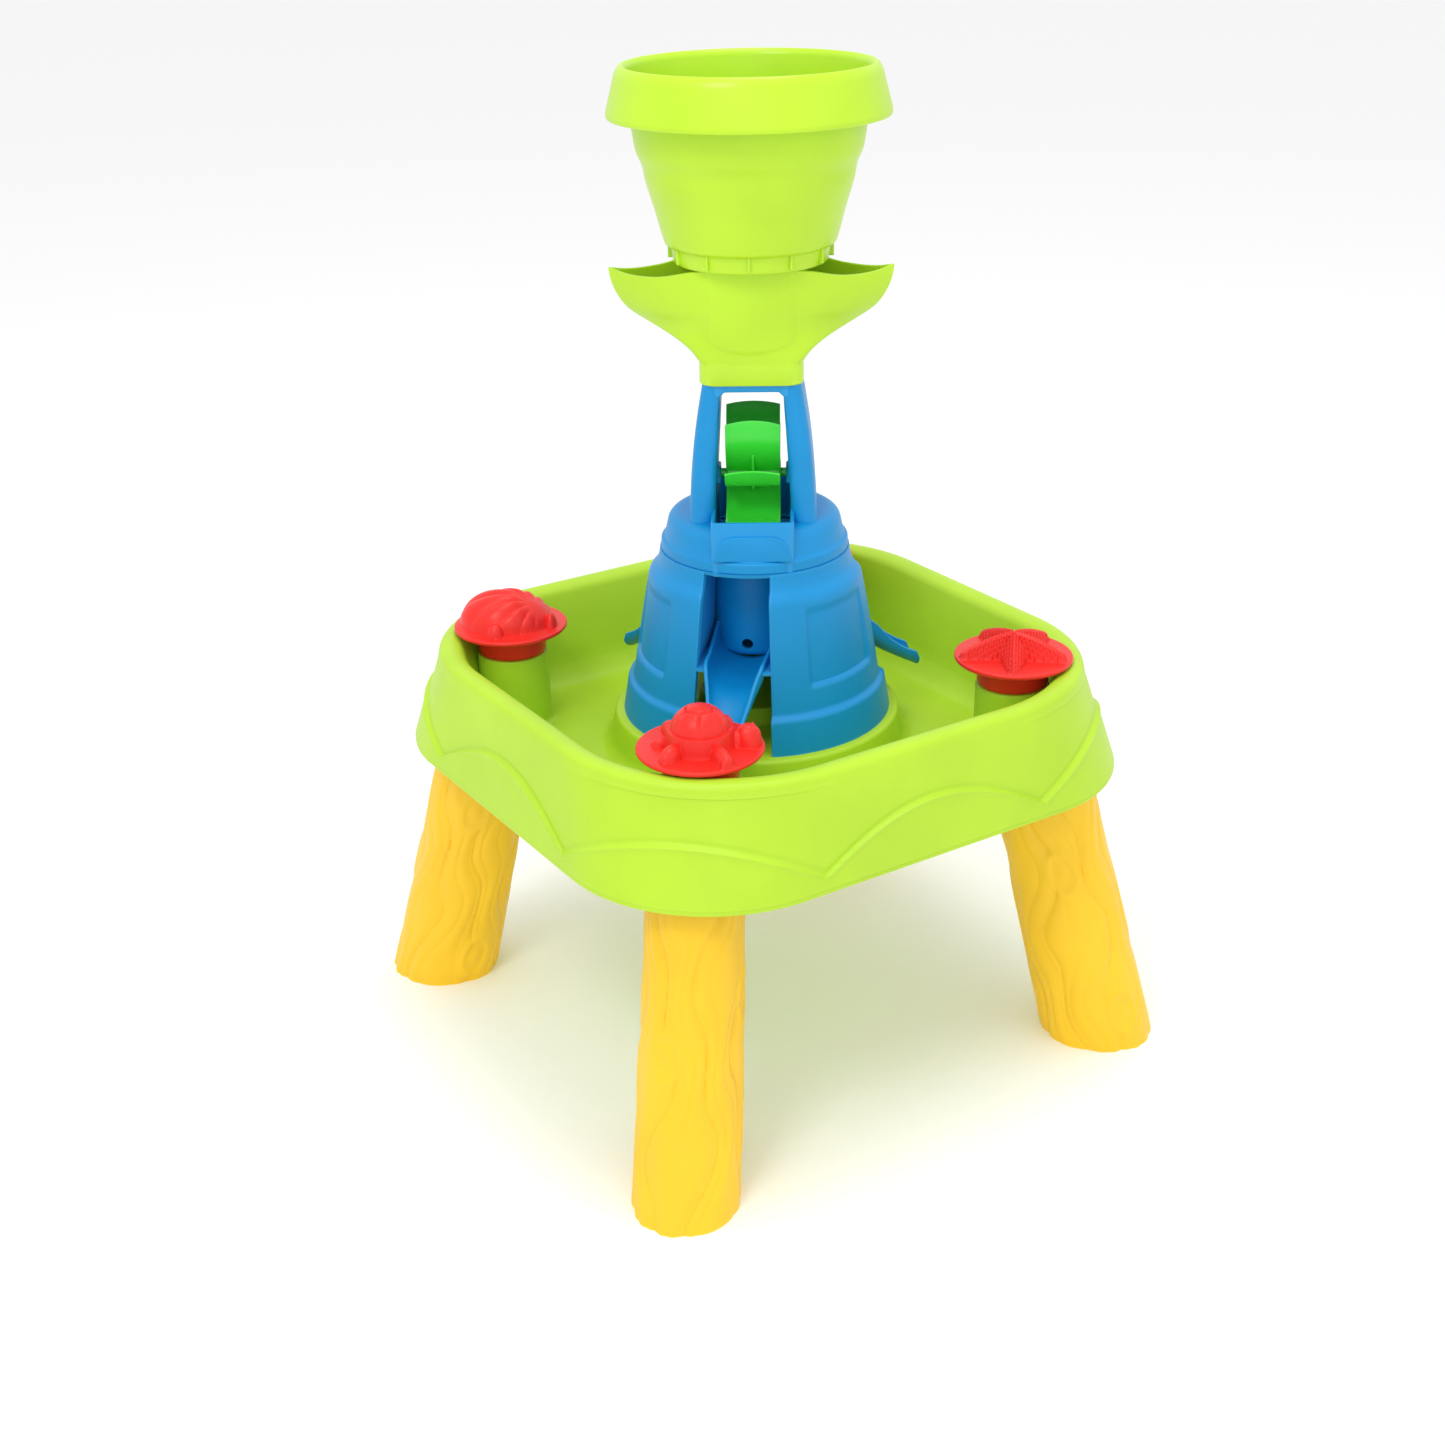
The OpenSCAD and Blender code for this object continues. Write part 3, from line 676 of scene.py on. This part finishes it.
def make_dome():
    """Flanged cap of the castle, with an opening that the frame's well stands in."""
    top = DOME_TOP / MM
    foot = FLANGE_Z / MM
    r = FLANGE_R / MM
    outline = softened([
        (1, foot + 14, 0), (r - 16, foot + 14, 3), (r - 8, foot + 0.2, 1), (r, foot + 0.1, 1),
        (r - 0.4, foot + 7, 1.4), (r - 2.8, foot + 8, 1.2), (r - 6, top - 4, 4), (r - 12, top, 4),
        (1, top, 0),
    ], 8)
    cap = piece("tower_cap", lathe(outline, 224), BLUE)
    size = (2 * WELL_HALF[0] * MM, 2 * WELL_HALF[1] * MM, 80 * MM)
    well = block(size, (0, 0, CASTLE_TOP + 47.9 * MM), 0.2 * MM)
    cut(cap, moved(well, TOWER_TURN))


def column_part(side):
    """One of the two bowed columns, with a round outer face and a flat inner cheek."""
    count = 96
    rise = FRAME_TOP + 1 * MM - DOME_TOP + 3 * MM
    rings = []
    turn = np.linspace(0, 2 * math.pi, count, endpoint=False)
    for t in np.linspace(0, 1, 40):
        z = DOME_TOP - 3 * MM + rise * t
        inner = along(t, [0, 0.3, 1], [26.2, 24.4, 20.2])
        outer = along(t, [0, 0.15, 0.4, 0.7, 1], [43.2, 42.3, 40.6, 37.2, 32.2])
        deep = along(t, [0, 1], [35.5, 31])
        hx = (outer - inner) / 2 * MM
        reach = rounded_column(hx, deep * MM, turn)
        x = reach * np.cos(turn) + (inner + outer) / 2 * MM
        ring = np.stack([x, reach * np.sin(turn), np.full(count, z)], 1)
        ring[:, 0] *= side
        rings.append(ring)
    return loft(rings)


def rounded_column(hx, hy, turn):
    """Outline of a column seen from above: round on its outer side, crisp on its inner side."""
    crisp = polar(hx, hy, 3.5 * MM, turn)
    full = polar(hx, hy, 0.98 * hx, turn)
    return np.where(np.cos(turn) > 0, full, full * 0.35 + crisp * 0.65)


def box_ring(hx, hy, r, z, count=120):
    """Level ring with rounded corners: half sizes, corner radius and height in mm."""
    turn = np.linspace(0, 2 * math.pi, count, endpoint=False)
    reach = polar(hx * MM, hy * MM, r * MM, turn)
    return np.stack([reach * np.cos(turn), reach * np.sin(turn), np.full(count, z * MM)], 1)


def well_part():
    """Open-topped well that the wheel dips into, with a rounded lip."""
    hx, hy = WELL_HALF
    wall = 2.5
    top = DOME_TOP / MM + 8
    foot = CASTLE_TOP / MM + 3.5
    steps = [
        (hx, hy, 4, foot), (hx, hy, 4, top - 1), (hx - 0.4, hy - 0.4, 3.8, top - 0.2),
        (hx - 1.1, hy - 1.1, 3.4, top), (hx - 2.1, hy - 2.1, 2.6, top),
        (hx - wall, hy - wall, 2.4, top - 0.4), (hx - wall, hy - wall, 2.4, foot + wall),
        (0.5, 0.5, 0.4, foot + wall),
    ]
    return loft([box_ring(*s, 240) for s in steps])


def arch_part(facing):
    """Raised round-shouldered window on an end wall of the well."""
    foot = FLANGE_Z / MM + 8
    top = DOME_TOP / MM - 1
    outline = softened([(0, foot, 0), (26.5, foot, 0.2), (20.5, top, 9), (0, top, 0)], 12) / MM
    outline = finer(outline, 1.5)
    mirrored = [(-x, z) for x, z in outline[::-1]]
    loop = [tuple(p) for p in outline] + mirrored[1:-1]
    centre = np.array([0, (foot + top) / 2])
    rings = []
    for grow, out in ((0, 58.5), (0, 60.9), (-0.03, 61.6), (-0.07, 61.8)):
        ring = [centre + (np.array(p) - centre) * (1 + grow) for p in loop]
        rings.append(np.array([(x, facing * out, z) for x, z in ring]) * MM)
    return loft(rings)


def frame_part():
    """Well with its arched ends, the two columns with their bearing blocks, and the square collar."""
    top = FRAME_TOP / MM
    collar = 31.2
    parts = [well_part(), arch_part(-1), arch_part(1), column_part(-1), column_part(1)]
    steps = [(collar, -0.5), (collar, 10.4), (collar - 1, 11.4), (27, 11.4), (26, 10.4), (26, -0.5)]
    parts.append(loft([box_ring(h, h, 11, top + z) for h, z in steps], looped=True))
    for side in (-1, 1):
        bar = [box_section(x, side) for x in np.linspace(-24, 24, 25)]
        parts.append(loft(bar))
        parts.append(block((5 * MM, 12 * MM, 13 * MM), (side * 24.5 * MM, 0, AXLE_Z), 0.8 * MM))
    return moved(merged(parts), TOWER_TURN)


def box_section(x, side):
    """Upright section through a bar of the collar: its underside dips at the ends to round the opening."""
    top = FRAME_TOP / MM
    dip = 3.5 * ease((abs(x) - 16.5) / 5) ** 2
    bottom = top - 5 - dip
    corners = [(side * 30.9, top + 1), (side * 30.9, bottom + 0.8), (side * 30.1, bottom),
        (side * 24, bottom), (side * 24, top + 1)]
    return np.array([(x, y, z) for y, z in corners]) * MM


# ---------------------------------------------------------------- water wheel

def spun(part, angle):
    """The part turned about the axle, which lies along X."""
    verts, faces = part
    c = math.cos(angle)
    s = math.sin(angle)
    rotation = np.array([[1, 0, 0], [0, c, -s], [0, s, c]])
    return verts @ rotation.T, faces


def blade_part(angle):
    """Scoop-shaped blade: bent to an arc along its reach, with a rounded tip."""
    width = np.linspace(-1, 1, 31)
    sheets = []
    for thick in (1.0, -1.0):
        rows = []
        for s in np.linspace(0, 1, 30):
            tip = math.radians(68) + math.radians(4.5) * (1 - width**2)
            swing = tip * s
            radius = BLADE_BEND + thick * (1 - 0.4 * s)
            y = BLADE_BEND - radius * np.cos(swing)
            z = BLADE_ROOT + radius * np.sin(swing)
            rows.append(np.stack([WHEEL_HALF * width, y, z], 1))
        sheets.append(np.array(rows) * MM)
    return spun(sheet_shell(sheets[0], sheets[1]), angle)


def rib_part(angle):
    """Small rib under the root of a blade."""
    rings = []
    for out, size, depth in ((7, 1.1, 8), (16, 1.0, 6.5), (26, 0.8, 1.5)):
        back = BLADE_BEND - math.sqrt(BLADE_BEND**2 - (out - BLADE_ROOT) ** 2)
        tail = back - depth
        ring = [(-size, back, out), (size, back, out), (size * 0.8, tail, out), (-size * 0.8, tail, out)]
        rings.append(np.array(ring) * MM)
    return spun(loft(rings), angle)


def along_axle(part):
    """Turns an upright lathe part so that it lies along X."""
    verts, faces = part
    return np.stack([verts[:, 2], verts[:, 1], -verts[:, 0]], 1), faces


def wheel_part():
    """Hub with its ring of blades, each with a rib."""
    end = WHEEL_HALF
    hub = softened([(3, -end, 0), (7.4, -end, 1), (8, -17, 2), (8, 17, 2), (7.4, end, 1), (3, end, 0)])
    parts = [along_axle(lathe(hub, 96))]
    for k in range(BLADE_COUNT):
        angle = k * 2 * math.pi / BLADE_COUNT + BLADE_TURN
        parts.append(blade_part(angle))
        parts.append(rib_part(angle))
    return moved(merged(parts), TOWER_TURN, (0, 0, AXLE_Z))


def axle_part():
    """Axle with softened ends, through the hub and both bearings."""
    r = 3
    end = 26.2
    outline = softened([
        (0.1, -end, 0), (2.6, -end, 0.4), (r, -25.6, 0.4), (r, 25.6, 0.4), (2.6, end, 0.4), (0.1, end, 0),
    ])
    return moved(along_axle(lathe(outline, 48)), TOWER_TURN, (0, 0, AXLE_Z))


# ---------------------------------------------------------------- funnel and bucket

def funnel_ring(height, inset, lift=0.0):
    """Ring of the funnel, from its square neck (height 0) to the saddle-shaped rim (height 1)."""
    turn = np.linspace(0, 2 * math.pi, 320, endpoint=False)
    u = np.cos(turn)
    side = np.sign(np.sin(turn) + 1e-12)
    foot = FRAME_TOP / MM + 14
    seat = SEAT_Z / MM
    long_half = along(height, [0, 0.08, 0.6, 0.8, 0.92, 1], [34.2, 38, 83.2, 90.6, 92.6, 93.2])
    long_half = long_half - 1.25 * inset
    wide_half = along(height, [0, 0.3, 1], [34.2, 36, 38.2]) - inset
    pointed = ease(height / 0.5)
    square = (1 - np.abs(u) ** 7) ** (1 / 7)
    leaf = 1 - u**2
    x = long_half * u
    bulge = ease((29 - np.abs(x)) / 2) * ease((height - 0.1 - 0.12 * (x / 29) ** 2) / 0.05)
    y = side * (wide_half * ((1 - pointed) * square + pointed * leaf) + 0.9 * bulge)
    rim = seat + along(np.abs(x), [0, 24, 34, 62, 84, 93.5], [0, -0.2, -1.2, -6.8, -6.2, -3.8])
    z = foot + (rim - foot) * height + lift
    return np.stack([x, y, z], 1) * MM


def funnel_part():
    """Saddle-shaped bowl, the square neck under it and the round seat for the bucket inside it."""
    neck = FRAME_TOP / MM
    half = 34.2
    heights = np.linspace(0, 1, 46)
    outer = [funnel_ring(h, 0) for h in heights]
    lip = [funnel_ring(1, 0.7, 0.55), funnel_ring(1, 1.8, 0.55)]
    inner = [funnel_ring(h, 2.5) for h in heights[::-1]]
    parts = [loft(outer + lip + inner, capped=False)]
    steps = [
        (31.6, 10.5, neck), (33.6, 11, neck), (half, 11.5, neck + 0.8), (half, 11.5, neck + 15),
        (33, 11, neck + 16.5), (26.2, 26, neck + 16.5), (26.2, 26, neck + 12), (31.6, 10.5, neck + 12),
    ]
    parts.append(loft([box_ring(h, h, r, z, 200) for h, r, z in steps], looped=True))
    seat = SEAT_Z / MM
    drum = softened([
        (32.4, neck + 14.2, 0), (33.4, neck + 32, 8), (36.4, seat - 18, 8), (36.6, seat - 0.6, 0.8),
        (34.2, seat - 0.2, 0.6), (33.7, seat - 18, 4), (31.2, neck + 32, 4), (30.4, neck + 14.2, 0),
    ], 5)
    parts.append(loft_ring(drum))
    return moved(merged(parts), TOWER_TURN)


def bucket_part():
    """Bucket with its down-turned rim, the spigot under its floor and the ribs round its foot."""
    ribs = 12
    foot = BUCKET_FLOOR / MM
    top = BUCKET_TOP / MM
    r = BUCKET_R / MM
    outline = softened([
        (0.5, foot + 0.2, 0), (50.2, foot + 0.2, 1), (51, foot + 3, 1.5), (52.2, foot + 10.8, 0.8),
        (55.6, foot + 12, 2.4), (57.6, foot + 18.5, 6), (61.6, foot + 34, 8), (67.2, foot + 52, 8),
        (68.6, foot + 62, 4), (72.6, foot + 70, 4), (74.4, foot + 81, 6), (75.4, foot + 91, 2),
        (75.4, foot + 97, 2), (r - 2.6, foot + 92, 1.2), (r - 0.7, foot + 90.6, 1.2),
        (r, foot + 93.4, 1.4), (0.925 * r, top - 4.5, 6), (0.885 * r, top, 4), (0.85 * r, top - 3, 4),
        (0.835 * r, top - 12, 5), (73.2, foot + 84, 8), (70.4, foot + 70, 6), (64.6, foot + 52, 8),
        (60.2, foot + 37, 8), (55, foot + 19, 8), (49.5, foot + 4, 5), (44, foot + 2.7, 3),
        (0.5, foot + 2.7, 0),
    ], 7)
    parts = [lathe(outline, 256)]
    boss = softened([(33.2, foot, 0), (33.2, foot - 7.8, 0.8), (30.7, foot - 7.8, 0.8), (30.7, foot, 0)])
    parts.append(loft_ring(boss, 128))
    for k in range(ribs):
        angle = k * 2 * math.pi / ribs + TOWER_TURN
        rib = block((3.2 * MM, 1.2 * MM, 10 * MM), (52.4 * MM, 0, (foot + 7) * MM), 0.4 * MM)
        parts.append(moved(rib, angle))
    return merged(parts)


def make_bucket():
    """Bucket with a ring of six small holes and a middle one in its floor."""
    bucket = piece("bucket", bucket_part(), TOWER_LIME, "bucket")
    hole = lathe(np.array([(0.1, -3), (2.5, -3), (2.5, 6), (0.1, 6)]) * MM, 24)
    places = [(16 * MM, k * math.pi / 3) for k in range(6)] + [(0, 0)]
    for out, angle in places:
        cut(bucket, moved(hole, 0, (out * math.cos(angle), out * math.sin(angle), BUCKET_FLOOR)))


# ---------------------------------------------------------------- mould caps

def dome(x, y, at, size, turn=0.0, power=2.0):
    """Height of a half egg in mm, zero outside it."""
    c = math.cos(turn)
    s = math.sin(turn)
    u = (c * (x - at[0]) + s * (y - at[1])) / size[0]
    v = (-s * (x - at[0]) + c * (y - at[1])) / size[1]
    q = np.clip(1 - (u * u + v * v), 0, 1)
    return size[2] * q ** (1 / power)


def melt(*heights):
    """Largest of several heights, with soft creases."""
    stack = np.stack(heights)
    peak = stack.max(0)
    crease = 0.5 * np.log(np.exp((stack - peak) / 0.5).sum(0))
    return peak + crease - 0.5 * math.log(len(heights)) * np.exp(-peak / 1.5)


def turtle(x, y):
    """Domed shell with hexagonal plates, a head with two eyes, four flippers and a tail."""
    r = np.hypot(x, y)
    a = np.arctan2(y, x)
    collar = 12.5 * ease((22.5 - r) / 1.8)
    shell = 10.5 + 17 * np.sqrt(np.clip(1 - (r / 18.5) ** 2, 0, 1))
    hexagon = r * np.cos((a + math.pi / 6) % (math.pi / 3) - math.pi / 6)
    seam = np.exp(-(((hexagon - 8) / 0.8) ** 2))
    spoke = np.exp(-((r * np.sin(a % (math.pi / 3) - math.pi / 6) / 0.9) ** 2)) * (hexagon > 8)
    body = np.where(r < 18.2, shell - 1.5 * np.maximum(seam, spoke), collar)
    head = melt(dome(x, y, (30, 3), (9.5, 8.5, 13)), dome(x, y, (33, 7), (3, 3, 12)),
        dome(x, y, (33, -1), (3, 3, 12)))
    parts = [body, head, dome(x, y, (23, 1), (8, 5.5, 9))]
    for side in (-1, 1):
        parts.append(dome(x, y, (13, side * 23), (13, 5.5, 9), side * 1.15))
        parts.append(dome(x, y, (17, side * 30), (7, 4, 6), side * 1.9))
        parts.append(dome(x, y, (-17, side * 18), (11, 6, 8.5), side * 2.2))
    parts.append(dome(x, y, (-25, 0), (6, 3, 5)))
    return melt(*parts)


def scallop(x, y):
    """Fan of ribs that spread from the hinge, on a low rim, with a knob at the side and the hinge."""
    hinge = (21, -2)
    a = np.arctan2(y - hinge[1], hinge[0] - x)
    d = np.hypot(x - hinge[0], y - hinge[1])
    fan = dome(x, y, (-3, 0), (34, 28.5, 23), 0, 2.2)
    ribs = 2.6 * np.abs(np.sin(7.5 * a)) ** 0.8 * ease((d - 6) / 14) * ease(fan / 7)
    rim = 2.6 * ease(1.4 - ((x + 3) / 36) ** 2 - (y / 30.5) ** 2)
    shell = np.where(fan > 0.2, fan + ribs - 1.6, 0)
    return melt(shell, rim * (fan < 3), dome(x, y, (-4, -28), (6.5, 6.5, 9.5)),
        dome(x, y, (31, -4), (4.2, 6.5, 10.5)))


def starfish(x, y):
    """Five tapering arms, each with a fine ridge and rows of bumps."""
    r = np.hypot(x, y)
    a = np.arctan2(y, x)
    arm = (a + math.pi / 5) % (2 * math.pi / 5) - math.pi / 5
    out = r * np.cos(arm)
    off = np.abs(r * np.sin(arm))
    half = np.clip(12 - 0.22 * out, 3, 13)
    ridge = 15.5 * (1 - (np.clip(out, 0, 39) / 44) ** 1.6)
    body = ridge * np.clip(1 - (off / half) ** 1.5, 0, 1) ** 0.7 * ease((39.5 - out) / 3)
    pitch = 3.7 / (2 * math.pi)
    bumps = 2.1 * np.cos(out / pitch) * np.cos(off / pitch - 0.9) * ease(body / 2) * ease(off - 1)
    spine = 1.2 * np.exp(-((off / 0.8) ** 2)) * ease(body / 2)
    return np.maximum(body + bumps + spine, 0)


def crab(x, y):
    """Domed body with two eyes, two claws and three legs a side."""
    parts = [dome(x, y, (0, 2), (22, 16, 15)), dome(x, y, (7, -12), (3.5, 3.5, 15)),
        dome(x, y, (-7, -12), (3.5, 3.5, 15))]
    for side in (-1, 1):
        parts.append(dome(x, y, (side * 22, -8), (9, 4, 8), -side * 0.7))
        parts.append(dome(x, y, (side * 19, -24), (9, 6.5, 10), side * 0.5))
        for k in range(3):
            parts.append(dome(x, y, (side * (25 + k), 3 + 8 * k), (10, 3, 6.5), side * (0.15 + 0.35 * k)))
    return melt(*parts)


def cap_part(node, relief, turn):
    """Disc and neck turned as one, with the figure's relief standing on the disc."""
    count = 300
    centre = middle(node)[:2]
    neck = POST_TOP / MM + 0.3
    disc = POST_TOP / MM + 17.7
    outer = softened([
        (22.2, neck + 12, 0), (22.2, neck, 0.4), (23.8, neck, 0.4), (24.6, neck + 2, 1.5),
        (24.9, disc - 0.4, 1), (39.9, disc - 0.2, 1),
        (40.8, disc + 1.2, 1.4), (40.4, disc + 2.8, 1.2), (39, disc + 3, 0),
    ]) / MM
    turns = np.linspace(0, 2 * math.pi, count, endpoint=False)
    rings = [np.stack([r * np.cos(turns), r * np.sin(turns), np.full(count, z)], 1) for r, z in outer]
    for r in np.linspace(38.7, 0.05, 130):
        x = r * np.cos(turns)
        y = r * np.sin(turns)
        fade = ease((39.2 - r) / 1.2)
        rings.append(np.stack([x, y, disc + 3 + fade * relief(x, y)], 1))
    part = loft(rings)
    return moved((part[0] * MM, part[1]), turn, (centre[0], centre[1], 0))


# ---------------------------------------------------------------- the pieces

piece("tray", tray_part(), TRAY_LIME, sharp=30)
for number, leg in enumerate(("leg_front_left", "leg_front_right", "leg_back_left", "leg_back_right")):
    piece(leg, leg_part(leg, 1.3 + 1.9 * number), YELLOW, sharp=60)
piece("castle", castle_part(), BLUE)
make_tank()
for chute, slot_turn in zip(("chute_front", "chute_right", "chute_back"), SLOT_TURNS):
    piece(chute, chute_part(slot_turn), BLUE)
make_dome()
piece("wheel_frame", frame_part(), BLUE)
piece("water_wheel", wheel_part(), GREEN, "wheel")
piece("wheel_axle", axle_part(), GREEN, "wheel")
piece("funnel", funnel_part(), TOWER_LIME)
make_bucket()
facing = math.radians(-33)
for cap, relief, turn in (
    ("cap_turtle", turtle, facing),
    ("cap_scallop", scallop, facing - 0.15),
    ("cap_starfish", starfish, math.radians(13)),
    ("cap_crab", crab, facing),
):
    piece(cap, cap_part(cap, relief, turn), RED, cap, sharp=45)


# ---------------------------------------------------------------- floor, light and camera

def make_floor():
    """Pale floor that reaches far past the camera's view."""
    mesh = bpy.data.meshes.new("floor")
    reach = 200
    corners = [(-reach, -reach, 0), (reach, -reach, 0), (reach, reach, 0), (-reach, reach, 0)]
    mesh.from_pydata(corners, [], [(0, 1, 2, 3)])
    floor = bpy.data.objects.new("floor", mesh)
    material = bpy.data.materials.new("pale_floor")
    material.use_nodes = True
    shader = material.node_tree.nodes["Principled BSDF"]
    shader.inputs["Base Color"].default_value = (0.97, 0.97, 0.97, 1)
    shader.inputs["Roughness"].default_value = 0.9
    mesh.materials.append(material)
    bpy.context.scene.collection.objects.link(floor)


def soft_light(name, place, size, power):
    """Large square lamp that looks at the middle of the table."""
    lamp = bpy.data.lights.new(name, "AREA")
    lamp.size = size
    lamp.energy = power
    obj = bpy.data.objects.new(name, lamp)
    obj.location = place
    look = Vector((0, 0, 0.35)) - Vector(place)
    obj.rotation_euler = look.to_track_quat("-Z", "Y").to_euler()
    bpy.context.scene.collection.objects.link(obj)


def make_light():
    """White sky with four soft lamps: key, fill, front and top."""
    world = bpy.data.worlds.new("studio")
    bpy.context.scene.world = world
    world.use_nodes = True
    sky = world.node_tree.nodes["Background"]
    sky.inputs["Color"].default_value = (1, 1, 1, 1)
    sky.inputs["Strength"].default_value = 0.95
    soft_light("key", (-1.3, -0.7, 2.0), 0.6, 11)
    soft_light("fill", (0.9, -2.0, 1.3), 1.8, 3)
    soft_light("front", (-1.1, -1.7, 1.0), 1.2, 3)
    soft_light("top", (0.1, -0.1, 2.4), 1.0, 13)


def make_camera():
    """Camera at the angle the table is seen from: over the front left corner, looking down."""
    place = Vector((-0.7213, -1.0857, 0.8227))
    aim = Vector((0.4889, 0.7671, -0.4153))
    camera = bpy.data.cameras.new("camera")
    camera.lens = 49.64
    camera.sensor_width = 36
    obj = bpy.data.objects.new("camera", camera)
    forward = aim.normalized()
    level = forward.cross(Vector((0, 0, 1))).normalized()
    upward = level.cross(forward)
    roll = math.radians(-1.2)
    right = math.cos(roll) * level + math.sin(roll) * upward
    above = -math.sin(roll) * level + math.cos(roll) * upward
    turn = Matrix((right, above, -forward)).transposed().to_4x4()
    obj.matrix_world = Matrix.Translation(place) @ turn
    bpy.context.scene.collection.objects.link(obj)
    bpy.context.scene.camera = obj


make_floor()
make_light()
make_camera()
bpy.context.scene.view_settings.view_transform = "Standard"
